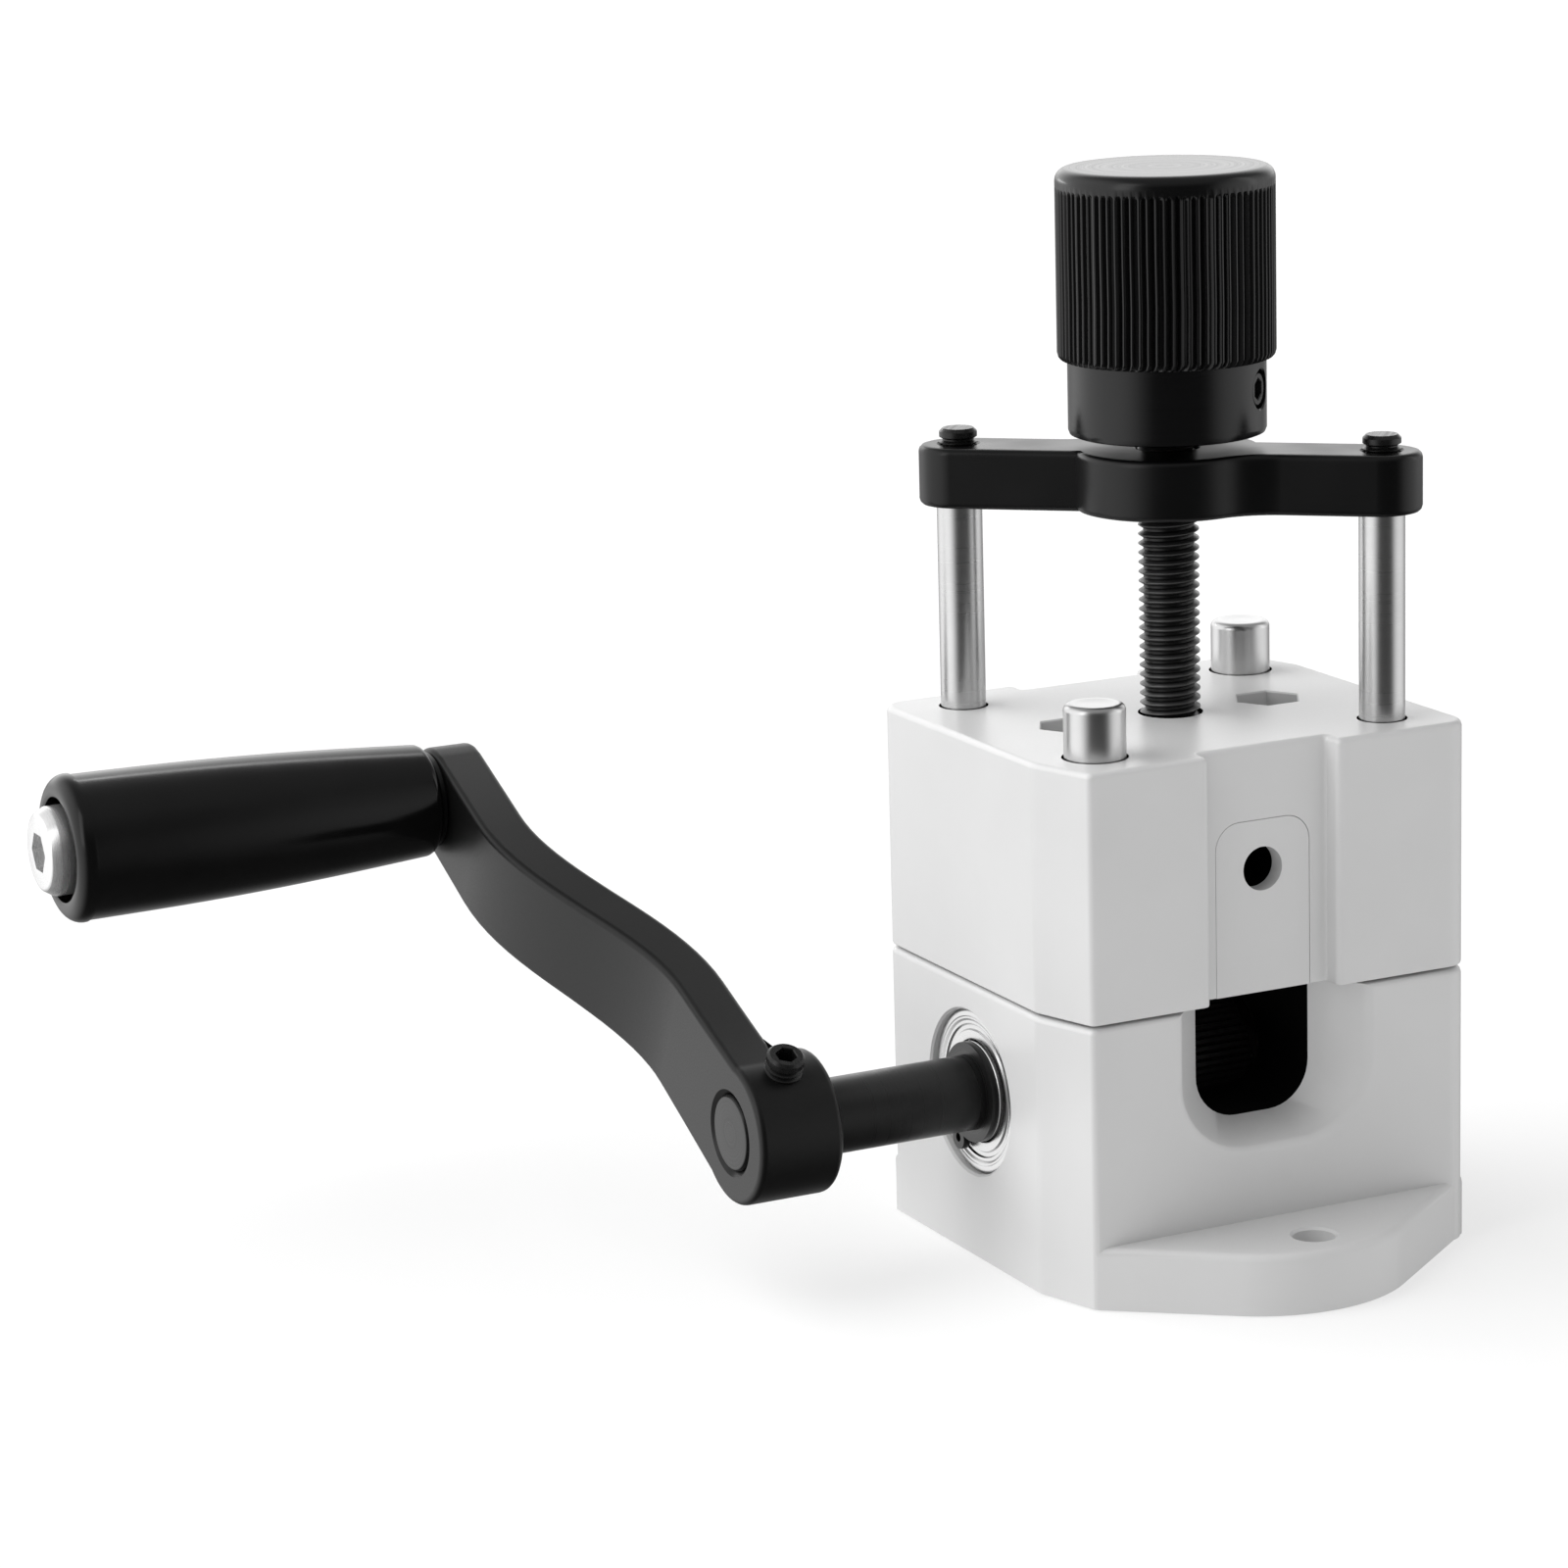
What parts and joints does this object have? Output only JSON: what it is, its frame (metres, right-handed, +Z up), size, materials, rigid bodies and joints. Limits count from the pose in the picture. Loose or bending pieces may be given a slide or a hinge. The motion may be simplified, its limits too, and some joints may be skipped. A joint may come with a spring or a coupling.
{
  "type": "hand-crank wire stripper",
  "caption": "Bench wire stripper: a crank and roller pull a wire through a two-part block while a knob on a lead screw sets the slitting blade's depth.",
  "frame": {"origin": "middle of the base's underside, on the lead screw's axis", "axes": "+Z up along the lead screw, -Y the way the stripped wire leaves, crank and handle on the -X side"},
  "size_m": [0.1649, 0.122, 0.1423],
  "materials": {
    "body_plastic": "fine satin moulded, light grey",
    "bright_steel": "ground and polished",
    "bearing_steel": "bright ground bearing steel",
    "black_aluminium": "satin black anodised",
    "black_steel": "black oxide",
    "screw_steel": "rolled thread, dark phosphated",
    "roller_steel": "knurled and hardened",
    "plain_steel": "plain turned",
    "blade_steel": "ground cutting edge",
    "bright_zinc": "bright zinc plated",
    "black_plastic": "gloss black moulded"
  },
  "bodies": {
    "base": {"lower_block": "body_plastic", "guide_rod_left": "bright_steel", "guide_rod_right": "bright_steel", "dowel_front": "bright_steel", "dowel_back": "bright_steel", "bridge": "black_aluminium", "bearing_left_outer_ring": "bearing_steel", "bearing_right_outer_ring": "bearing_steel", "bearing_left_shield": "bearing_steel", "bearing_right_shield": "bearing_steel"},
    "crank": {"drive_shaft": "black_steel", "feed_roller": "roller_steel", "roller_set_screw": "black_steel", "spacer_left": "plain_steel", "spacer_right": "plain_steel", "bearing_left_inner_ring": "bearing_steel", "bearing_right_inner_ring": "bearing_steel", "bearing_left_balls": "bearing_steel", "bearing_right_balls": "bearing_steel", "circlip_left": "black_steel", "circlip_right": "black_steel", "crank_arm": "black_aluminium", "crank_set_screw": "black_steel", "handle_bolt": "bright_zinc", "grip_washer": "plain_steel"},
    "grip": {"handle_grip": "black_plastic"},
    "head": {"upper_block": "body_plastic", "blade_carrier": "body_plastic", "carrier_screw_left": "black_steel", "carrier_screw_right": "black_steel", "carrier_nut_left": "plain_steel", "carrier_nut_right": "plain_steel", "blade_pin": "bright_steel", "blade_washers": "plain_steel"},
    "blade": {"slitting_blade": "blade_steel"},
    "screw": {"lead_screw": "screw_steel", "screw_washer": "plain_steel", "screw_clip": "black_steel", "knob": "black_aluminium", "knob_set_screw": "black_steel"}
  },
  "joints": [
    {"name": "crank_turn", "type": "hinge", "parent": "base", "child": "crank", "pos_m": [0, 0.002, 0.0224], "axis": [1, 0, 0], "continuous": true},
    {"name": "grip_turn", "type": "hinge", "parent": "crank", "child": "grip", "pos_m": [0, 0.07061, 0.05439], "axis": [1, 0, 0], "continuous": true},
    {"name": "head_lift", "type": "slide", "parent": "base", "child": "head", "axis": [0, 0, 1], "range_m": [0, 0.02]},
    {"name": "blade_turn", "type": "hinge", "parent": "head", "child": "blade", "pos_m": [0, 0.002, 0.0462], "axis": [1, 0, 0], "continuous": true},
    {"name": "knob_turn", "type": "hinge", "parent": "head", "child": "screw", "pos_m": [0, 0, 0.0705], "axis": [0, 0, 1], "range_deg": [0, 5760]}
  ],
  "couplings": [
    {"joint": "knob_turn", "follows": "head_lift", "rad_per_m": 5026.5}
  ]
}
